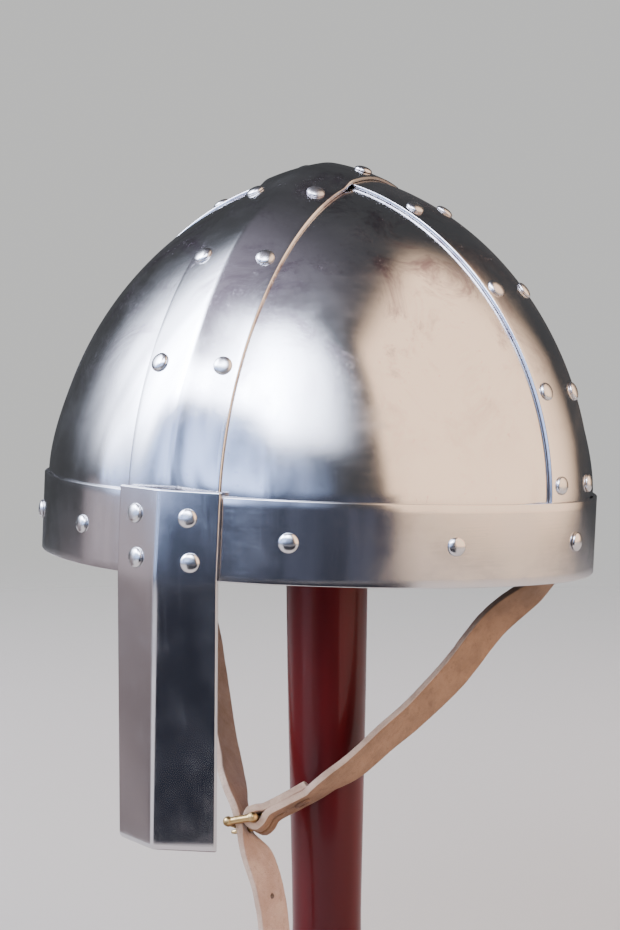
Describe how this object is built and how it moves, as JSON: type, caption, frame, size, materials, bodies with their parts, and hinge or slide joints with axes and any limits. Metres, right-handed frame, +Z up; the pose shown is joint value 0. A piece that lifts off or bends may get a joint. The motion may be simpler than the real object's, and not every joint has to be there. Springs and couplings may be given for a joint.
{
  "type": "spangenhelm on a stand",
  "caption": "Riveted steel spangenhelm with crossed bands, brow band and nasal, its leather chin strap buckled below, on a plain turned post stand.",
  "frame": {"origin": "centre of the stand's foot on the floor, on the post's axis", "axes": "+Z up along the post; -Y towards the nasal, the way the helm faces; +X towards the wearer's left"},
  "size_m": [0.2209, 0.2335, 0.3458],
  "materials": {
    "bowl_steel": "mirror polish with a faint haze of brushing",
    "brow_steel": "polished along its length with faint brushing",
    "rivet_steel": "low polished domes",
    "strap_leather": "natural veg-tanned, smooth grain face and pale cut edges",
    "buckle_brass": "dull aged cast brass",
    "red_lacquer": "dark red gloss lacquer on turned wood"
  },
  "bodies": {
    "root": {"brow_band": "brow_steel", "fore_aft_band": "bowl_steel", "cross_band": "bowl_steel", "plate_front_left": "bowl_steel", "plate_front_right": "bowl_steel", "plate_back_left": "bowl_steel", "plate_back_right": "bowl_steel", "nasal": "brow_steel", "rivet_front_1": "rivet_steel", "rivet_front_2": "rivet_steel", "rivet_front_3": "rivet_steel", "rivet_front_4": "rivet_steel", "rivet_front_5": "rivet_steel", "rivet_front_6": "rivet_steel", "rivet_back_1": "rivet_steel", "rivet_back_2": "rivet_steel", "rivet_back_3": "rivet_steel", "rivet_back_4": "rivet_steel", "rivet_back_5": "rivet_steel", "rivet_back_6": "rivet_steel", "rivet_back_7": "rivet_steel", "rivet_back_8": "rivet_steel", "rivet_left_1": "rivet_steel", "rivet_left_2": "rivet_steel", "rivet_left_3": "rivet_steel", "rivet_left_4": "rivet_steel", "rivet_left_5": "rivet_steel", "rivet_left_6": "rivet_steel", "rivet_left_7": "rivet_steel", "rivet_left_8": "rivet_steel", "rivet_right_1": "rivet_steel", "rivet_right_2": "rivet_steel", "rivet_right_3": "rivet_steel", "rivet_right_4": "rivet_steel", "rivet_right_5": "rivet_steel", "rivet_right_6": "rivet_steel", "rivet_right_7": "rivet_steel", "rivet_right_8": "rivet_steel", "rivet_brow_1": "rivet_steel", "rivet_brow_2": "rivet_steel", "rivet_brow_3": "rivet_steel", "rivet_brow_4": "rivet_steel", "rivet_brow_5": "rivet_steel", "rivet_brow_6": "rivet_steel", "rivet_brow_7": "rivet_steel", "rivet_brow_8": "rivet_steel", "rivet_brow_9": "rivet_steel", "rivet_brow_10": "rivet_steel", "rivet_brow_11": "rivet_steel", "strap_left": "strap_leather", "strap_right": "strap_leather", "buckle_frame": "buckle_brass", "buckle_pin": "buckle_brass", "stand": "red_lacquer"}
  },
  "joints": []
}
